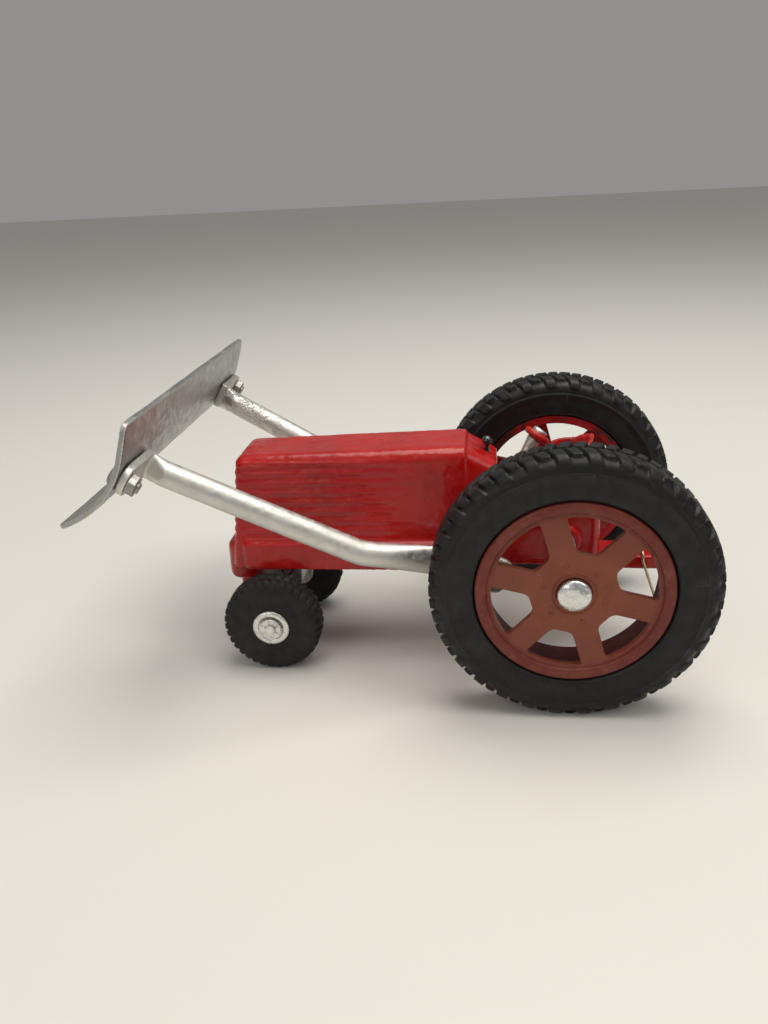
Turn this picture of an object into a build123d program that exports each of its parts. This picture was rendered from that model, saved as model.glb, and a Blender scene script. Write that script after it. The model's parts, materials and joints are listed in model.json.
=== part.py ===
from build123d import *
import math
import os

# A cast toy tractor with a front blade on two tubular arms.
# While it is being built the origin is in the middle of the rear axle. X runs towards the rear,
# so the front is at -X, Y runs across the tractor (its left is -Y) and Z is up.
# At the end everything is shifted so that the origin is on the ground, under the middle of the box.
# All sizes are in millimetres.

# Clearances
RUNNING_GAP = 0.06      # radial gap of a wheel or arm that turns on a shaft
END_GAP = 0.3           # gap along a shaft between a turning piece and a fixed one
FRONT_WHEEL_GAP = 0.6   # between a front tyre and the frame rail

# Rear wheels
WHEELBASE = 114.8
REAR_TYRE_RADIUS = 50.0
REAR_TYRE_WIDTH = 19.0
REAR_RIM_RADIUS = 33.8          # where the tyre sits on the rim
REAR_WHEEL_MIDDLE = 49.5        # from the tractor's middle to the middle of the tyre
REAR_AXLE_RADIUS = 2.5
BARREL_WALL = 4.4
WINDOW_OUTER_RADIUS = 28.2
WINDOW_CORNER = 1.0
HUB_PLATE_RADIUS = 14.7
HUB_PLATE_RISE = 0.5
HUB_RADIUS = 7.6
RIM_PLATE = 2.8                 # thickness of the spokes
RIM_LIP = 1.2                   # how far the rim's lip stands proud of the spokes
SPOKES = 6
SPOKE_WIDTH = 8.8
SPOKE_START = 106.0             # degrees from the rear, turning upwards
WHEEL_SEAT = 16.0               # width of the rim under the tyre
CAP_RADIUS = 5.9
CAP_EDGE = 0.96                 # height of the cap's straight edge
CAP_HEIGHT = 3.2
CAP_GRIP = 1.6                  # how far the axle goes into the cap
SPACER_RADIUS = 4.0

# Front wheels
FRONT_TYRE_RADIUS = 19.8
FRONT_TYRE_WIDTH = 11.3
FRONT_AXLE_RADIUS = 2.0
FRONT_AXLE_CHAMFER = 0.3
FRONT_SPACER_WALL = 1.6
FRONT_HUB_BARREL = 6.0          # radius of the hub inside the tyre
FRONT_HUB_RADIUS = 7.4          # radius of the hub's two flanges
FRONT_HUB_FLANGE = 1.1
PUSH_NUT_RADIUS = 4.4
PUSH_NUT_THICKNESS = 0.8
PUSH_NUT_TEETH = 6
AXLE_STUB = 0.8                 # how far an axle stands out of its push nut

# Body casting: places along X at the front are measured from the front axle
WALL = 3.2
HOOD_OVERHANG = 12.2            # of the top of the grille
HOOD_REAR = -37.5
HOOD_TOP_FRONT = 35.0
HOOD_TOP_REAR = 38.0
HOOD_HALF_TOP = 15.0
HOOD_HALF_BOTTOM = 18.2
HOOD_CORNER = 5.0
HOOD_FRONT_EDGE = 3.0           # rounding around the grille
GRILLE_SLOPE = 4.6              # how far the grille's foot stands in front of its top
CASTING_BOTTOM = -10.5
RAIL_TOP = 1.0
RAIL_STEP = 1.2
RAIL_CORNER = 3.0
SIDE_RIBS = 8
RIB_PITCH = 3.9
RIB_RADIUS = 1.0
RIB_SINK_FRONT = 0.45           # how deep a rib's middle is in the hood's side
RIB_SINK_REAR = 1.4
RIB_LENGTH = 50.8               # from the front axle to where the side ribs have run out
COWL_REAR = -25.5
COWL_TOP_REAR = 30.5
COWL_STEP = 1.0                 # the cowl starts this much narrower than the hood's top
COWL_DROP = 0.8
COWL_NARROWING = 1.5
HOUSING_REAR = 14.0
HOUSING_TOP = 14.0
HOUSING_HALF = 13.5
HOUSING_CORNER = 4.0
HOUSING_EDGE = 2.0
HOUSING_LAP = 2.0               # how far the housing reaches into the cowl
BULKHEAD = 13.0                 # solid metal between hood and housing
BULKHEAD_REAR = -22.5
NOSE_OVERHANG = 20.2
NOSE_LENGTH = 13.5
NOSE_HALF = 15.0
NOSE_TOP = -1.0
NOSE_BOTTOM = -17.5
NOSE_CORNER = 5.0
NOSE_EDGE = 2.5
PEDESTAL_OVERHANG = 17.7
PEDESTAL_LENGTH = 9.9
PEDESTAL_HALF = 8.0
PEDESTAL_BOTTOM = -26.0
PEDESTAL_CORNER = 2.0
FLOOR_LENGTH = 13.8             # of the hollow's floor, behind the front axle
FLOOR_THICKNESS = 6.0
AXLE_BOSS_RADIUS = 6.0
AXLE_BOSS_END = 15.5
DRAWBAR_END = 44.0
DRAWBAR_HALF = 8.0
DRAWBAR_TOP = -9.5
DRAWBAR_BOTTOM = -15.0
DRAWBAR_HEEL = 3.0              # how far its heel climbs up the housing
LAP = 4.0                       # how far one part of the casting reaches into the next

# Front axle bracket, around a lug under the casting
CHEEK = 1.8
BRACKET_GAP = 0.1
LUG_HALF = 8.5
LUG_OVERHANG = 1.6
LUG_LENGTH = 9.0
LUG_BOTTOM = -20.5
BRACKET_EYE = 4.4
BRACKET_PIN_RADIUS = 1.5
BRACKET_PIN_BACK = 3.5          # behind the front axle
BRACKET_PIN_Z = -14.6
BRACKET_NUT_RADIUS = 2.7

# Loader: its arms turn on the pivot pin
PIVOT_X = -30.0
PIVOT_Z = -7.0
PIVOT_RADIUS = 2.0
PIVOT_BOSS_RADIUS = 5.6
PIVOT_NUT_RADIUS = 4.2
TUBE_RADIUS = 4.75
TUBE_WALL = 1.2
TUBE_BEND_RADIUS = 14.0
FLAT_WIDTH = 14.6               # a tube end, flattened
FLAT_THICKNESS = 2.8
FLAT_CORNER = 4.38
FLAT_SLOPE = -25.0              # degrees, the flattened rear end drops towards the rear
FLAT_TAIL = 9.5                 # metal behind the pivot
FRONT_TAPER = 9.0               # from the round tube to the back of the blade
TAPER_END_GAP = 1.0
ARM_REAR_Y = 26.0
ARM_BEND = (-46.0, 36.5, 12.2)          # from the pivot: X and Z, with Y from the middle
ARM_FLAT_START = (-37.0, 34.1, 10.0)
TAB_WIDTH = 11.0                # of the tab that is bolted to the blade
TAB_CORNER = 5.0
TAB_LENGTH = 23.5
TAB_TURN = 10.0                 # degrees round the blade's bend, from its middle up to the tab
BLADE_WIDTH = 140.0
BLADE_THICKNESS = 2.2
BLADE_TOP = (-28.9, 65.8)       # X from the front axle and Z, in the middle of the sheet
BLADE_BEND = (-37.5, 38.6)
BLADE_TIP = (-58.2, 29.6)
BLADE_BEND_RADIUS = 36.0
BLADE_CORNER = 2.5
BLADE_OVERHANG = 23.7           # outside each arm
BOLT_RADIUS = 2.0
BOLT_OFFSET = 7.8               # outwards from the tab's middle
BOLT_HEAD_RADIUS = 3.6
BOLT_HEAD_HEIGHT = 1.6
BOLT_END = 1.0                  # how far the bolt stands out of its nut
NUT_ACROSS_FLATS = 7.0
NUT_HEIGHT = 3.0

# Driver's place
COLUMN_RADIUS = 1.7
COLUMN_FOOT = (-26.5, 0.0, 14.5)
COLUMN_SLOPE = 53.0             # degrees above level, seen from the side
COLUMN_LEAN = 11.0              # degrees towards the tractor's right
COLUMN_LENGTH = 29.5
COLUMN_END = 1.0                # how far the rod reaches into its cap
COLUMN_COLLAR = 6.0
COLUMN_BOSS_RADIUS = 4.6
COLUMN_BOSS_LENGTH = 5.0
STEERING_RADIUS = 5.4
STEERING_RIM = 1.4
COLUMN_CAP_RADIUS = 3.0
COLUMN_CAP_HEIGHT = 1.8
SEAT_X = 2.2
SEAT_LENGTH = 18.5
SEAT_WIDTH = 21.0
SEAT_BOTTOM = 29.5
SEAT_FRONT_TOP = 34.0
SEAT_BACK_START_TOP = 34.6
SEAT_BACK_TOP = 38.3
SEAT_BACK_START = 0.65          # where the back starts to rise, as a share of the length
SEAT_WALL = 1.6
SEAT_TAPER = 14.0
SEAT_POST_RADIUS = 2.4
SEAT_POST_FOOT = 8.0
RIVET_RADIUS = 3.6
RIVET_HEIGHT = 1.2
SHOULDER_HEIGHT = 3.0
KNOB_RADIUS = 2.0
KNOB_X = -29.3
KNOB_Z = 36.4
KNOB_STEM = 6.0

# Hitch: a hole in the drawbar's end and a wire hooked over the drawbar's left edge
HITCH_HOLE_RADIUS = 1.6
WIRE_RADIUS = 0.55
WIRE_HOLE_RADIUS = 1.0
WIRE_X = 31.2
WIRE_INSET = 4.0                # from the drawbar's edge to the middle of the wire's hole
WIRE_OUTSET = 0.9               # from the drawbar's edge to the wire that hangs beside it
WIRE_RISE = 1.7                 # the top of the crook above the drawbar
WIRE_CROOK = 2.4                # radius of its bends
WIRE_BEND_DROP = 1.5            # from the drawbar's top down to where the wire turns to the rear
WIRE_LEAN = 19.4                # degrees from upright, below that
WIRE_SHORT_END = -14.0
WIRE_LONG_END = -29.5

# Values worked out from the ones above
REAR_HUB_END = REAR_WHEEL_MIDDLE - WHEEL_SEAT / 2
REAR_HUB_FACE = REAR_WHEEL_MIDDLE + WHEEL_SEAT / 2
FRONT_AXLE_X = -WHEELBASE
FRONT_AXLE_Z = FRONT_TYRE_RADIUS - REAR_TYRE_RADIUS
RAIL_HALF = HOOD_HALF_BOTTOM + RAIL_STEP
FRONT_WHEEL_MIDDLE = RAIL_HALF + FRONT_WHEEL_GAP + FRONT_TYRE_WIDTH / 2
FRONT_HUB_OUT = FRONT_WHEEL_MIDDLE + FRONT_TYRE_WIDTH / 2 + FRONT_HUB_FLANGE
FRONT_HUB_IN = FRONT_WHEEL_MIDDLE - FRONT_TYRE_WIDTH / 2 - FRONT_HUB_FLANGE
HOOD_FRONT = FRONT_AXLE_X - HOOD_OVERHANG
LUG_REAR = FRONT_AXLE_X - LUG_OVERHANG + LUG_LENGTH
BRACKET_PIN_X = FRONT_AXLE_X + BRACKET_PIN_BACK
CHEEK_OUT = LUG_HALF + CHEEK
ARM_FRONT_Y = BLADE_WIDTH / 2 - BLADE_OVERHANG
ARM_INNER_Y = ARM_REAR_Y - FLAT_THICKNESS / 2
ARM_OUTER_Y = ARM_REAR_Y + FLAT_THICKNESS / 2
PIVOT_BOSS_END = ARM_INNER_Y - END_GAP


def across(radius, start_y, end_y, x, z):
    """A round bar that lies along Y."""
    middle = (start_y + end_y) / 2
    return Pos(x, middle, z) * Rot(90, 0, 0) * Cylinder(radius, abs(end_y - start_y))


def block(x_range, y_range, z_range):
    """A box given by its limits."""
    size = [high - low for low, high in (x_range, y_range, z_range)]
    middle = [(high + low) / 2 for low, high in (x_range, y_range, z_range)]
    return Pos(*middle) * Box(*size)


def side_plate(points, half, inner=0.0):
    """A plate with an outline in X and Z, from inner to half on the right side of the middle."""
    outline = make_face(Plane.XZ * Polyline(*points, close=True))
    return Pos(0, half, 0) * extrude(outline, half - inner, dir=(0, -1, 0))


def turned(points):
    """A solid of revolution about Y from (radius, y) points."""
    return revolve(make_face(Polyline(*points, close=True)), Axis.Y)


def push_nut(radius, bore, x, y, z):
    """A star push nut whose inner face is at y on the right side."""
    disc = across(radius, y, y + PUSH_NUT_THICKNESS, x, z)
    outer_edge = disc.edges().filter_by(GeomType.CIRCLE).sort_by(Axis.Y)[-1]
    disc = chamfer(outer_edge, PUSH_NUT_THICKNESS / 2)
    disc -= across(bore, y - 1, y + 2, x, z)
    slot_radius = (radius - bore) / 5
    slot_circle = bore + slot_radius * 2
    for tooth in range(PUSH_NUT_TEETH):
        angle = math.radians(360 / PUSH_NUT_TEETH * tooth + 30)
        slot_x = x + slot_circle * math.cos(angle)
        slot_z = z + slot_circle * math.sin(angle)
        disc -= across(slot_radius, y - 1, y + 2, slot_x, slot_z)
    return disc


# ---------------------------------------------------------------- wheels

def rear_tyre():
    half = REAR_TYRE_WIDTH / 2
    seat = WHEEL_SEAT / 2
    wall = REAR_TYRE_RADIUS - REAR_RIM_RADIUS
    side = [
        (REAR_RIM_RADIUS, seat - 0.2),
        (REAR_RIM_RADIUS + 0.12 * wall, half - 0.3),
        (REAR_RIM_RADIUS + 0.62 * wall, half),
        (REAR_TYRE_RADIUS - 0.12 * wall, half - 1.7),
        (REAR_TYRE_RADIUS, half - 4.2),
    ]
    tyre = turned(side + [(r, -y) for r, y in reversed(side)])
    return Pos(0, REAR_WHEEL_MIDDLE, 0) * tyre


def spoke_windows():
    """The six openings between the spokes, as one sketch in X and Z."""
    ring = Circle(WINDOW_OUTER_RADIUS) - Circle(HUB_PLATE_RADIUS + 0.4)
    reach = WINDOW_OUTER_RADIUS + 2
    for spoke in range(SPOKES):
        angle = SPOKE_START + 360 / SPOKES * spoke
        ring -= Rot(0, 0, angle) * Pos(reach / 2, 0) * Rectangle(reach, SPOKE_WIDTH)
    return fillet(ring.vertices(), WINDOW_CORNER)


def rear_rim():
    """Barrel, lip, spoked plate and hub in one moulding, around the origin with its face at +Y."""
    seat = WHEEL_SEAT / 2
    bore = REAR_AXLE_RADIUS + RUNNING_GAP
    barrel_inside = REAR_RIM_RADIUS - BARREL_WALL
    barrel = turned([
        (barrel_inside + 0.8, -seat),
        (REAR_RIM_RADIUS, -seat),
        (REAR_RIM_RADIUS, seat + RIM_LIP),
        (REAR_RIM_RADIUS - 2.6, seat + RIM_LIP),
        (REAR_RIM_RADIUS - 3.4, seat),
        (barrel_inside, seat),
    ])
    plate = turned([
        (bore, seat - RIM_PLATE),
        (barrel_inside + 1, seat - RIM_PLATE),
        (barrel_inside + 1, seat),
        (bore, seat),
    ])
    plate -= Pos(0, seat + 1, 0) * extrude(Plane.XZ * spoke_windows(), RIM_PLATE + 2)
    hub = turned([
        (bore, -seat),
        (HUB_RADIUS - 0.8, -seat),
        (HUB_RADIUS, seat - RIM_PLATE),
        (HUB_PLATE_RADIUS, seat - RIM_PLATE),
        (HUB_PLATE_RADIUS, seat),
        (HUB_PLATE_RADIUS - 0.6, seat + HUB_PLATE_RISE),
        (HUB_RADIUS + 0.6, seat + HUB_PLATE_RISE),
        (HUB_RADIUS, seat),
        (bore, seat),
    ])
    return Pos(0, REAR_WHEEL_MIDDLE, 0) * (barrel + plate + hub)


def rear_cap():
    """A domed cap pressed on the end of the rear axle."""
    start = REAR_HUB_FACE + END_GAP
    axle_end = start + CAP_GRIP
    edge = (CAP_RADIUS, start + CAP_EDGE)
    top = (0, start + CAP_HEIGHT)
    dome_radius = (CAP_RADIUS ** 2 + (CAP_HEIGHT - CAP_EDGE) ** 2) / (2 * (CAP_HEIGHT - CAP_EDGE))
    half_way = CAP_RADIUS / 2
    drop = dome_radius - math.sqrt(dome_radius ** 2 - half_way ** 2)
    dome = ThreePointArc(edge, (half_way, start + CAP_HEIGHT - drop), top)
    inside = Polyline(
        top, (0, axle_end), (REAR_AXLE_RADIUS, axle_end), (REAR_AXLE_RADIUS, start),
        (CAP_RADIUS, start), edge)
    return revolve(make_face(dome + inside), Axis.Y)


def rear_axle():
    end = REAR_HUB_FACE + END_GAP + CAP_GRIP
    return across(REAR_AXLE_RADIUS, -end, end, 0, 0)


def rear_spacer():
    """A tube between the housing and the wheel's hub."""
    tube = across(SPACER_RADIUS, AXLE_BOSS_END, REAR_HUB_END - END_GAP, 0, 0)
    return tube - rear_axle()


def front_tyre():
    half = FRONT_TYRE_WIDTH / 2
    side = [
        (FRONT_HUB_BARREL, half),
        (FRONT_HUB_RADIUS + 0.6, half),
        (FRONT_HUB_RADIUS + 3.5, half - 0.9),
        (FRONT_TYRE_RADIUS - 4.6, half - 0.1),
        (FRONT_TYRE_RADIUS - 1.4, half - 0.9),
        (FRONT_TYRE_RADIUS, half - 2.6),
    ]
    tyre = turned(side + [(r, -y) for r, y in reversed(side)])
    return Pos(FRONT_AXLE_X, FRONT_WHEEL_MIDDLE, FRONT_AXLE_Z) * tyre


def front_hub():
    """A spool that carries the tyre; its outer flange is domed."""
    half = FRONT_TYRE_WIDTH / 2
    bore = FRONT_AXLE_RADIUS + RUNNING_GAP
    spool = turned([
        (bore, -half - FRONT_HUB_FLANGE),
        (FRONT_HUB_RADIUS - 0.4, -half - FRONT_HUB_FLANGE),
        (FRONT_HUB_RADIUS, -half),
        (FRONT_HUB_BARREL, -half),
        (FRONT_HUB_BARREL, half),
        (FRONT_HUB_RADIUS, half),
        (FRONT_HUB_RADIUS - 0.3, half + 0.6 * FRONT_HUB_FLANGE),
        (FRONT_HUB_RADIUS - 1.2, half + FRONT_HUB_FLANGE),
        (bore, half + FRONT_HUB_FLANGE),
    ])
    return Pos(FRONT_AXLE_X, FRONT_WHEEL_MIDDLE, FRONT_AXLE_Z) * spool


def front_axle():
    end = FRONT_HUB_OUT + END_GAP + PUSH_NUT_THICKNESS + AXLE_STUB
    axle = across(FRONT_AXLE_RADIUS, -end, end, FRONT_AXLE_X, FRONT_AXLE_Z)
    return chamfer(axle.edges().filter_by(GeomType.CIRCLE), FRONT_AXLE_CHAMFER)


def front_push_nut():
    start = FRONT_HUB_OUT + END_GAP
    return push_nut(PUSH_NUT_RADIUS, FRONT_AXLE_RADIUS, FRONT_AXLE_X, start, FRONT_AXLE_Z)


def front_spacer():
    """A short tube between the bracket's cheek and the front hub."""
    radius = FRONT_AXLE_RADIUS + FRONT_SPACER_WALL
    tube = across(radius, CHEEK_OUT, FRONT_HUB_IN - END_GAP, FRONT_AXLE_X, FRONT_AXLE_Z)
    return tube - front_axle()


# ---------------------------------------------------------------- body casting

def cross_section(x, half_bottom, half_top, bottom, top, corner):
    """A section of the hood or cowl: wider at its foot, with rounded upper corners."""
    plane = Plane(origin=(x, 0, 0), x_dir=(0, 1, 0), z_dir=(1, 0, 0))
    corners = [(-half_bottom, bottom), (half_bottom, bottom), (half_top, top), (-half_top, top)]
    face = make_face(Polyline(*corners, close=True))
    upper = face.vertices().sort_by(Axis.Y)[2:]
    return plane * fillet(upper, corner)


def hood_shell():
    front = HOOD_FRONT - GRILLE_SLOPE
    foot = CASTING_BOTTOM
    outside = loft([
        cross_section(front, HOOD_HALF_BOTTOM, HOOD_HALF_TOP, foot, HOOD_TOP_FRONT, HOOD_CORNER),
        cross_section(HOOD_REAR, HOOD_HALF_BOTTOM, HOOD_HALF_TOP, foot, HOOD_TOP_REAR, HOOD_CORNER),
    ])
    height = HOOD_TOP_FRONT - foot
    grille_cut = side_plate([
        (front, foot),
        (front + 2 * GRILLE_SLOPE, foot + 2 * height),
        (front - 1, foot + 2 * height),
        (front - 1, foot),
    ], 2 * HOOD_HALF_BOTTOM, -2 * HOOD_HALF_BOTTOM)
    shell = outside - grille_cut
    around_grille = shell.faces().sort_by(Axis.X)[0].edges()
    return fillet(around_grille.sort_by(Axis.Z)[1:], HOOD_FRONT_EDGE)


def cowl():
    """The hood's rear end, which slopes down to the housing."""
    half_bottom = HOOD_HALF_BOTTOM - COWL_NARROWING
    start_top = HOOD_HALF_TOP - COWL_STEP
    end_top = start_top - COWL_NARROWING
    foot = CASTING_BOTTOM
    return loft([
        cross_section(HOOD_REAR, HOOD_HALF_BOTTOM, start_top, foot, HOOD_TOP_REAR - COWL_DROP, HOOD_CORNER),
        cross_section(COWL_REAR, half_bottom, end_top, foot, COWL_TOP_REAR, HOOD_CORNER),
    ])


def frame_rail():
    rail = block((HOOD_FRONT, COWL_REAR), (-RAIL_HALF, RAIL_HALF), (CASTING_BOTTOM, RAIL_TOP))
    rail = fillet(rail.edges().filter_by(Axis.Z), RAIL_CORNER)
    return chamfer(rail.edges().group_by(Axis.Z)[-1], RAIL_STEP * 0.6)


def side_ribs():
    """Level ribs along both sides of the hood, sinking into it towards the rear."""
    ribs = []
    drop = (HOOD_HALF_BOTTOM - HOOD_HALF_TOP) / (HOOD_TOP_FRONT - CASTING_BOTTOM)
    for number in range(SIDE_RIBS):
        z = RAIL_TOP + RIB_PITCH * (number + 0.75)
        side = HOOD_HALF_BOTTOM - drop * (z - CASTING_BOTTOM)
        start = Vector(HOOD_FRONT + HOOD_FRONT_EDGE - RIB_RADIUS, side - RIB_SINK_FRONT, z)
        finish = Vector(FRONT_AXLE_X + RIB_LENGTH, side - RIB_SINK_REAR, z)
        along = finish - start
        bar = extrude(Plane(origin=start, z_dir=along) * Circle(RIB_RADIUS), along.length)
        ribs += [bar, bar.mirror(Plane.XZ)]
        grille_x = HOOD_FRONT - GRILLE_SLOPE * (HOOD_TOP_FRONT - z) / (HOOD_TOP_FRONT - CASTING_BOTTOM)
        bar_end = side - HOOD_FRONT_EDGE
        ribs.append(across(RIB_RADIUS, -bar_end, bar_end, grille_x + RIB_RADIUS / 2, z))
    return ribs


def nose_and_pedestal():
    """A boss in front of the axle, a foot under it, and the lug that holds the axle's bracket."""
    nose_front = FRONT_AXLE_X - NOSE_OVERHANG
    nose = block((nose_front, nose_front + NOSE_LENGTH), (-NOSE_HALF, NOSE_HALF), (NOSE_BOTTOM, NOSE_TOP))
    nose = fillet(nose.edges().filter_by(Axis.Z), NOSE_CORNER)
    nose = fillet(nose.edges().group_by(Axis.Z)[-1] + nose.edges().group_by(Axis.Z)[0], NOSE_EDGE)
    foot_front = FRONT_AXLE_X - PEDESTAL_OVERHANG
    foot_x = (foot_front, foot_front + PEDESTAL_LENGTH)
    foot = block(foot_x, (-PEDESTAL_HALF, PEDESTAL_HALF), (PEDESTAL_BOTTOM, NOSE_BOTTOM + LAP))
    foot = fillet(foot.edges().filter_by(Axis.Z), PEDESTAL_CORNER)
    lug_x = (FRONT_AXLE_X - LUG_OVERHANG, LUG_REAR)
    lug = block(lug_x, (-LUG_HALF, LUG_HALF), (LUG_BOTTOM, CASTING_BOTTOM + LAP))
    return nose + foot + lug


def gearbox_housing():
    length = (COWL_REAR - HOUSING_LAP, HOUSING_REAR)
    housing = block(length, (-HOUSING_HALF, HOUSING_HALF), (CASTING_BOTTOM, HOUSING_TOP))
    rear_corners = housing.edges().filter_by(Axis.Z).sort_by(Axis.X)[2:]
    housing = fillet(rear_corners, HOUSING_CORNER)
    housing = fillet(housing.faces().sort_by(Axis.Z)[-1].edges(), HOUSING_EDGE)
    housing += across(AXLE_BOSS_RADIUS, -AXLE_BOSS_END, AXLE_BOSS_END, 0, 0)
    housing += across(PIVOT_BOSS_RADIUS, -PIVOT_BOSS_END, PIVOT_BOSS_END, PIVOT_X, PIVOT_Z)
    return housing


def hitch_x():
    """The middle of the drawbar's rounded end."""
    return DRAWBAR_END - DRAWBAR_HALF + 1


def drawbar():
    start = HOUSING_REAR - WALL
    bar = block((start, DRAWBAR_END), (-DRAWBAR_HALF, DRAWBAR_HALF), (DRAWBAR_BOTTOM, DRAWBAR_TOP))
    bar = fillet(bar.edges().filter_by(Axis.Z).sort_by(Axis.X)[2:], DRAWBAR_HALF - 1)
    heel_top = DRAWBAR_TOP + DRAWBAR_HEEL
    heel = block((start, HOUSING_REAR), (-DRAWBAR_HALF, DRAWBAR_HALF), (DRAWBAR_BOTTOM, heel_top))
    thickness = DRAWBAR_TOP - DRAWBAR_BOTTOM
    hitch_hole = Pos(hitch_x(), 0, DRAWBAR_BOTTOM) * Cylinder(HITCH_HOLE_RADIUS, 3 * thickness)
    wire_y = WIRE_INSET - DRAWBAR_HALF
    wire_hole = Pos(WIRE_X, wire_y, DRAWBAR_BOTTOM) * Cylinder(WIRE_HOLE_RADIUS, 3 * thickness)
    return bar + heel - hitch_hole - wire_hole


def hollows():
    """The two spaces inside the casting, open underneath."""
    low = CASTING_BOTTOM - LAP
    half_bottom = HOOD_HALF_BOTTOM - WALL
    half_top = HOOD_HALF_TOP - WALL
    corner = HOOD_CORNER - WALL / 2
    engine_space = loft([
        cross_section(HOOD_FRONT + WALL, half_bottom, half_top, low, HOOD_TOP_FRONT - WALL, corner),
        cross_section(BULKHEAD_REAR - BULKHEAD, half_bottom, half_top, low, HOOD_TOP_REAR - WALL, corner),
    ])
    floor_x = (HOOD_FRONT, FRONT_AXLE_X + FLOOR_LENGTH)
    floor = block(floor_x, (-RAIL_HALF, RAIL_HALF), (low - 1, CASTING_BOTTOM + FLOOR_THICKNESS))
    housing_inside = HOUSING_HALF - WALL
    axle_space = block(
        (BULKHEAD_REAR, HOUSING_REAR - WALL), (-housing_inside, housing_inside), (low, HOUSING_TOP - WALL))
    return engine_space - floor, axle_space


def body_casting():
    casting = hood_shell() + cowl() + frame_rail()
    casting += side_ribs()
    casting += gearbox_housing()
    engine_space, axle_space = hollows()
    casting -= engine_space
    casting -= axle_space
    casting += nose_and_pedestal()
    casting += drawbar()
    casting += column_boss()
    fitted = [rear_axle(), front_axle(), pivot_pin(), bracket_pin()]
    fitted += [steering_column(), seat_post(), cowl_knob()]
    for piece in fitted:
        casting -= piece
    return casting


# ---------------------------------------------------------------- front axle bracket

def front_axle_bracket():
    """A bent strap: two cheeks beside the casting's lug, joined behind it, with eyes for the axle."""
    top = CASTING_BOTTOM - 2 * BRACKET_GAP
    web_front = LUG_REAR + BRACKET_GAP
    rear = web_front + CHEEK
    outline = [
        (FRONT_AXLE_X - BRACKET_EYE, FRONT_AXLE_Z),
        (FRONT_AXLE_X - BRACKET_EYE - 1.4, BRACKET_PIN_Z - 2.0),
        (FRONT_AXLE_X - 0.6, top),
        (rear, top),
        (rear, LUG_BOTTOM),
        (FRONT_AXLE_X + BRACKET_EYE, FRONT_AXLE_Z),
    ]
    cheek = side_plate(outline, CHEEK_OUT, LUG_HALF)
    cheek += across(BRACKET_EYE, LUG_HALF, CHEEK_OUT, FRONT_AXLE_X, FRONT_AXLE_Z)
    web = block((web_front, rear), (-CHEEK_OUT, CHEEK_OUT), (LUG_BOTTOM, top))
    bracket = cheek + cheek.mirror(Plane.XZ) + web
    return bracket - front_axle() - bracket_pin()


def bracket_pin():
    end = CHEEK_OUT + PUSH_NUT_THICKNESS + AXLE_STUB
    return across(BRACKET_PIN_RADIUS, -end, end, BRACKET_PIN_X, BRACKET_PIN_Z)


def bracket_push_nut():
    return push_nut(BRACKET_NUT_RADIUS, BRACKET_PIN_RADIUS, BRACKET_PIN_X, CHEEK_OUT, BRACKET_PIN_Z)


# ---------------------------------------------------------------- loader

def pivot_pin():
    end = ARM_OUTER_Y + END_GAP + PUSH_NUT_THICKNESS + AXLE_STUB
    return across(PIVOT_RADIUS, -end, end, PIVOT_X, PIVOT_Z)


def pivot_push_nut():
    return push_nut(PIVOT_NUT_RADIUS, PIVOT_RADIUS, PIVOT_X, ARM_OUTER_Y + END_GAP, PIVOT_Z)


def blade_points():
    """The sheet's middle line: its upper edge, the corner of its bend and its lip."""
    return [Vector(FRONT_AXLE_X + x, 0, z) for x, z in (BLADE_TOP, BLADE_BEND, BLADE_TIP)]


def blade_frame():
    """Where the arms meet the back of the blade: z_dir points away from it and x_dir up it."""
    top, corner, tip = blade_points()
    up = (top - corner).normalized()
    down = (tip - corner).normalized()
    inward = (up + down).normalized()
    along = (up - down).normalized()
    half_opening = math.radians(up.get_angle(down) / 2)
    centre = corner + inward * (BLADE_BEND_RADIUS / math.sin(half_opening))
    turn = math.radians(TAB_TURN)
    away = along * math.sin(turn) - inward * math.cos(turn)
    upwards = along * math.cos(turn) + inward * math.sin(turn)
    back = centre + away * (BLADE_BEND_RADIUS + BLADE_THICKNESS / 2)
    return Plane(origin=back, x_dir=upwards, z_dir=away)


def tab_middle():
    """How far the middle of a tab is from the middle of the tractor."""
    return ARM_FRONT_Y - FLAT_THICKNESS / 2 + TAB_LENGTH / 2


def bolt_plane():
    """The plane of a right-hand bolt: its origin is on the back of the blade."""
    frame = blade_frame()
    bolt_y = tab_middle() + BOLT_OFFSET
    return Plane(origin=frame.origin + Vector(0, bolt_y, 0), x_dir=frame.x_dir, z_dir=frame.z_dir)


def on_axis(plane, radius, start, end):
    """A round bar along a plane's normal."""
    return plane * Pos(0, 0, (start + end) / 2) * Cylinder(radius, end - start)


def flattening(round_plane, flat_plane, width):
    """The stretch of an arm that passes from the round tube to its flattened end."""
    sections = [
        round_plane * Circle(TUBE_RADIUS),
        flat_plane * Ellipse(width / 2, FLAT_THICKNESS / 2),
    ]
    return sweep(sections, path=Line(round_plane.origin, flat_plane.origin), multisection=True)


def arm_points():
    """Where the round tube starts behind the blade, where it bends, and where it starts to flatten."""
    frame = blade_frame()
    front_tip = frame.origin + Vector(0, ARM_FRONT_Y, 0)
    pivot = Vector(PIVOT_X, 0, PIVOT_Z)
    return front_tip + frame.z_dir * FRONT_TAPER, pivot + ARM_BEND, pivot + ARM_FLAT_START


def rear_tail(flat):
    """The flattened rear end around the pivot, in a plane whose x_dir runs along the arm."""
    length = FLAT_TAIL + FLAT_WIDTH / 2
    middle = (FLAT_TAIL - FLAT_WIDTH / 2) / 2
    tail = flat * Pos(middle, 0) * Box(length, FLAT_WIDTH, FLAT_THICKNESS)
    along = Axis((0, 0, 0), tuple(flat.x_dir))
    return fillet(tail.edges().filter_by(Axis.Y).sort_by(along)[2:], FLAT_CORNER)


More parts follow.
